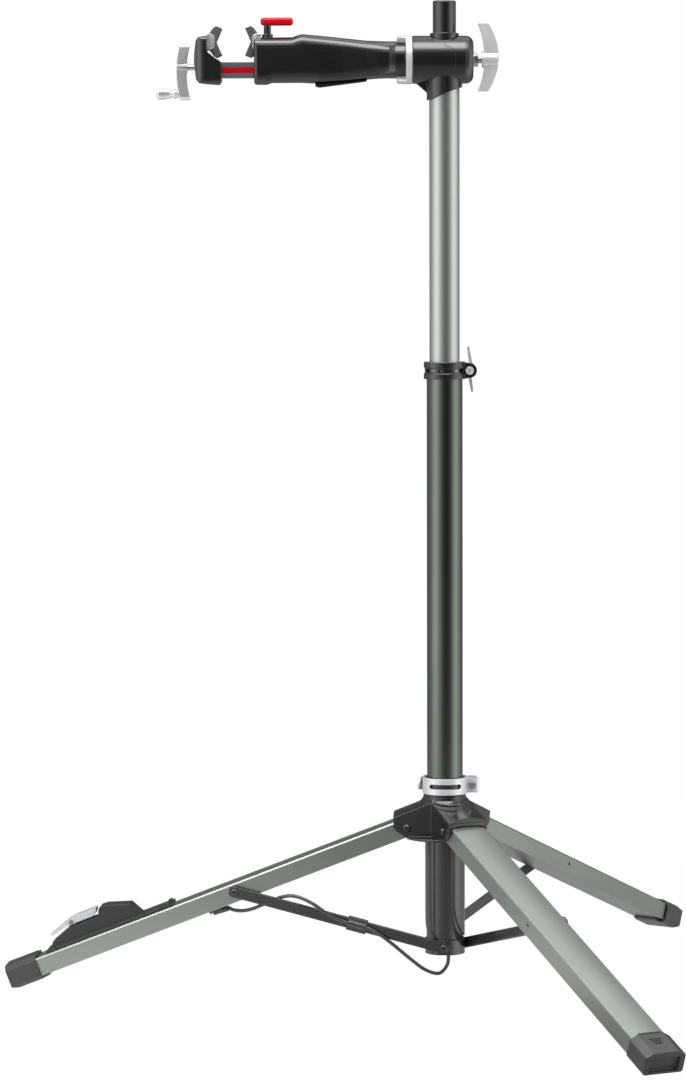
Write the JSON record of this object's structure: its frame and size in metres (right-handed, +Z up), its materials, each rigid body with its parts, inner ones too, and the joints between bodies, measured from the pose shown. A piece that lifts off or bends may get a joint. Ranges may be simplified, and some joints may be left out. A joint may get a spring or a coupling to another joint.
{
  "type": "bicycle repair stand",
  "caption": "Folding repair stand with three braced legs, a telescopic column, a foot pedal for its height and a turning clamp arm whose jaw is closed with a crank.",
  "frame": {"origin": "on the floor, on the column's axis", "axes": "+Z up the column, -X along the clamp arm towards its crank, +Y away from the camera"},
  "size_m": [0.9994, 1.1013, 1.383],
  "materials": {
    "grey_tube": "satin anodised",
    "dark_tube": "dark anodised",
    "dark_casting": "satin",
    "black_casting": "satin",
    "black_plastic": "fine grained",
    "pale_metal": "bead blasted",
    "steel": "plated",
    "black_steel": "black oxide",
    "bar_metal": "satin",
    "nylon": "plain",
    "grey_rubber": "matt",
    "red_plastic": "smooth",
    "brass": "plain",
    "cable_skin": "smooth"
  },
  "bodies": {
    "column": {"lower_tube": "dark_tube", "spine_tube": "dark_casting", "brace_collar": "dark_casting", "base_plug": "black_plastic", "gas_spring_rod": "steel", "guide_bush": "nylon", "height_collar": "black_casting", "height_bolt": "pale_metal"},
    "height_wing": {"height_wing_nut": "pale_metal"},
    "valve_lever": {"valve_lever": "steel"},
    "lift_carriage": {"gas_spring_cylinder": "black_casting", "slide_bush": "nylon"},
    "mast": {"upper_tube": "grey_tube", "head_casting": "black_casting", "shaft_bushes": "nylon", "top_post": "black_plastic"},
    "arm": {"arm_shell_near": "black_casting", "arm_shell_far": "black_casting", "arm_lower_plate": "black_casting", "arm_shaft": "steel", "clutch_ring": "pale_metal", "fixed_jaw_pad": "grey_rubber", "fixed_jaw_holder": "pale_metal", "button_spring": "steel"},
    "release_button": {"button_cap": "red_plastic", "button_post": "black_plastic"},
    "jaw_bar": {"slide_bar": "bar_metal", "bar_stripe": "red_plastic"},
    "outer_jaw": {"outer_jaw_body": "black_casting", "moving_jaw_pad": "grey_rubber", "moving_jaw_holder": "pale_metal"},
    "crank": {"crank_screw": "steel", "crank_lever": "pale_metal"},
    "knob": {"crank_knob": "pale_metal"},
    "handle": {"tension_handle": "pale_metal"},
    "hub": {"hub_casting": "dark_casting", "hub_clamp_ring": "pale_metal", "hub_clamp_bolt": "steel", "leg_pivot_bolts": "black_steel"},
    "hub_lever": {"hub_clamp_lever": "pale_metal"},
    "left_leg": {"leg_left": "grey_tube", "cap_left": "black_plastic", "pedal_housing": "black_plastic", "pedal_pin": "brass", "cable_gland": "black_plastic"},
    "front_leg": {"leg_front": "grey_tube", "cap_front": "black_plastic"},
    "rear_leg": {"leg_rear": "grey_tube", "cap_rear": "black_plastic"},
    "pedal": {"pedal": "pale_metal"},
    "left_brace": {"brace_left": "dark_casting", "brace_left_bolts": "black_steel", "cable_clip": "black_plastic", "release_cable": "cable_skin"},
    "front_brace": {"brace_front": "dark_casting", "brace_front_bolts": "black_steel"},
    "rear_brace": {"brace_rear": "dark_casting", "brace_rear_bolts": "black_steel"}
  },
  "joints": [
    {"name": "hub_slide", "type": "slide", "parent": "column", "child": "hub", "axis": [0, 0, 1], "range_m": [0, 0.39]},
    {"name": "left_leg_fold", "type": "hinge", "parent": "hub", "child": "left_leg", "pos_m": [-0.05163, 0.00415, 0.23414], "axis": [-0.0802, -0.9968, 0], "range_deg": [0, 68.6]},
    {"name": "left_brace_swing", "type": "hinge", "parent": "column", "child": "left_brace", "pos_m": [0, 0, 0.0648], "axis": [0.0802, 0.9968, 0], "range_deg": [0, 65.3], "deforming": ["release_cable"]},
    {"name": "front_leg_fold", "type": "hinge", "parent": "hub", "child": "front_leg", "pos_m": [0.02222, -0.04679, 0.23414], "axis": [0.9033, 0.4289, 0], "range_deg": [0, 68.6]},
    {"name": "front_brace_swing", "type": "hinge", "parent": "column", "child": "front_brace", "pos_m": [0, 0, 0.0648], "axis": [-0.9033, -0.4289, 0], "range_deg": [0, 65.3]},
    {"name": "rear_leg_fold", "type": "hinge", "parent": "hub", "child": "rear_leg", "pos_m": [0.02941, 0.04264, 0.23414], "axis": [-0.8231, 0.5678, 0], "range_deg": [0, 68.6]},
    {"name": "rear_brace_swing", "type": "hinge", "parent": "column", "child": "rear_brace", "pos_m": [0, 0, 0.0648], "axis": [0.8231, -0.5678, 0], "range_deg": [0, 65.3]},
    {"name": "hub_lever_open", "type": "hinge", "parent": "hub", "child": "hub_lever", "pos_m": [0.038, 0.0183, 0.29194], "axis": [0, 0, -1], "range_deg": [0, 110]},
    {"name": "mast_lift", "type": "slide", "parent": "column", "child": "lift_carriage", "axis": [0, 0, 1], "range_m": [-0.34, 0.26]},
    {"name": "mast_swivel", "type": "hinge", "parent": "lift_carriage", "child": "mast", "pos_m": [0, 0, 0.9], "axis": [0, 0, 1], "continuous": true},
    {"name": "height_wing_turn", "type": "hinge", "parent": "column", "child": "height_wing", "pos_m": [0.0345, 0.0375, 0.87275], "axis": [0, 1, 0], "continuous": true},
    {"name": "arm_turn", "type": "hinge", "parent": "mast", "child": "arm", "pos_m": [0, 0, 1.302], "axis": [1, 0, 0], "continuous": true},
    {"name": "tension_handle_turn", "type": "hinge", "parent": "arm", "child": "handle", "pos_m": [0.06, 0, 1.302], "axis": [1, 0, 0], "continuous": true},
    {"name": "button_press", "type": "slide", "parent": "arm", "child": "release_button", "axis": [0, 0, -1], "range_m": [0, 0.006], "stiffness_N_per_m": 800, "springref_m": -0.004, "deforming": ["button_spring"]},
    {"name": "jaw_slide", "type": "slide", "parent": "arm", "child": "jaw_bar", "axis": [1, 0, 0], "range_m": [-0.04, 0.02]},
    {"name": "jaw_screw", "type": "slide", "parent": "jaw_bar", "child": "outer_jaw", "axis": [1, 0, 0], "range_m": [-0.01, 0.01]},
    {"name": "crank_turn", "type": "hinge", "parent": "outer_jaw", "child": "crank", "pos_m": [-0.35, 0, 1.2923], "axis": [1, 0, 0], "range_deg": [-720, 720]},
    {"name": "knob_spin", "type": "hinge", "parent": "crank", "child": "knob", "pos_m": [-0.383, 0, 1.2563], "axis": [1, 0, 0], "continuous": true},
    {"name": "pedal_press", "type": "hinge", "parent": "left_leg", "child": "pedal", "pos_m": [-0.5272, 0.04242, 0.0923], "axis": [-0.0802, -0.9968, 0], "range_deg": [0, 10], "stiffness_Nm_per_rad": 3, "springref_deg": -2.86},
    {"name": "valve_lever_tip", "type": "hinge", "parent": "column", "child": "valve_lever", "pos_m": [-0.009, -0.007, 0.0845], "axis": [0, 1, 0], "range_deg": [0, 10]}
  ],
  "couplings": [
    {"joint": "left_leg_fold", "follows": "hub_slide", "rad_per_m": 3.0695},
    {"joint": "left_brace_swing", "follows": "hub_slide", "rad_per_m": 2.9215},
    {"joint": "front_leg_fold", "follows": "hub_slide", "rad_per_m": 3.0695},
    {"joint": "front_brace_swing", "follows": "hub_slide", "rad_per_m": 2.9215},
    {"joint": "rear_leg_fold", "follows": "hub_slide", "rad_per_m": 3.0695},
    {"joint": "rear_brace_swing", "follows": "hub_slide", "rad_per_m": 2.9215},
    {"joint": "jaw_screw", "follows": "crank_turn", "m_per_rad": 0.000795},
    {"joint": "valve_lever_tip", "follows": "pedal_press", "ratio": 0.999}
  ]
}
